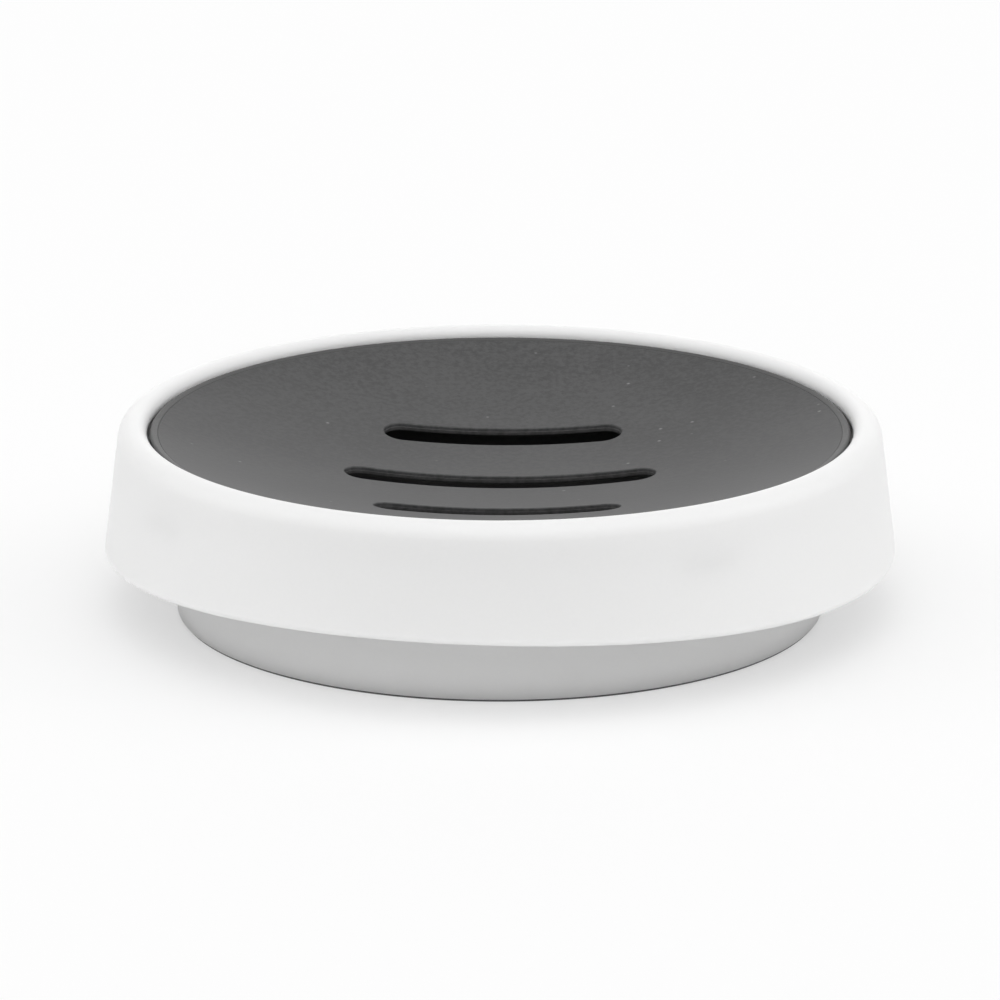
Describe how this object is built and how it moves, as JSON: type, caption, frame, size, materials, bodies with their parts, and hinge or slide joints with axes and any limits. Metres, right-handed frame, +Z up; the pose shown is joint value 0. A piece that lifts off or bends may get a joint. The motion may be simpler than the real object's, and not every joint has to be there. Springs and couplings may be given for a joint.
{
  "type": "soap dish",
  "caption": "Round self-draining soap dish: a flared ring on a recessed foot holds a lift-out drip tray and a dished insert with drain slots.",
  "frame": {"origin": "centre of the footprint, on the surface the dish stands on", "axes": "+Z up through the dish's centre, +X along the drain slots"},
  "size_m": [0.117, 0.1162, 0.0286],
  "materials": {
    "ring_plastic": "white moulded plastic, satin to matte",
    "base_plastic": "white moulded plastic, satin to matte",
    "tray_plastic": "dark grey moulded plastic, matte",
    "insert_plastic": "dark grey moulded plastic, fine matte texture",
    "foot_rubber": "soft grey rubber, matte"
  },
  "bodies": {
    "base": {"base": "base_plastic", "outer_ring": "ring_plastic", "non_slip_ring": "foot_rubber"},
    "drip_tray": {"drip_tray": "tray_plastic"},
    "drain_insert": {"drain_insert": "insert_plastic"}
  },
  "joints": [
    {"name": "tray_lift", "type": "slide", "parent": "base", "child": "drip_tray", "axis": [0, 0, 1], "range_m": [0, 0.04]},
    {"name": "insert_lift", "type": "slide", "parent": "drip_tray", "child": "drain_insert", "axis": [0, 0, 1], "range_m": [0, 0.03]}
  ]
}
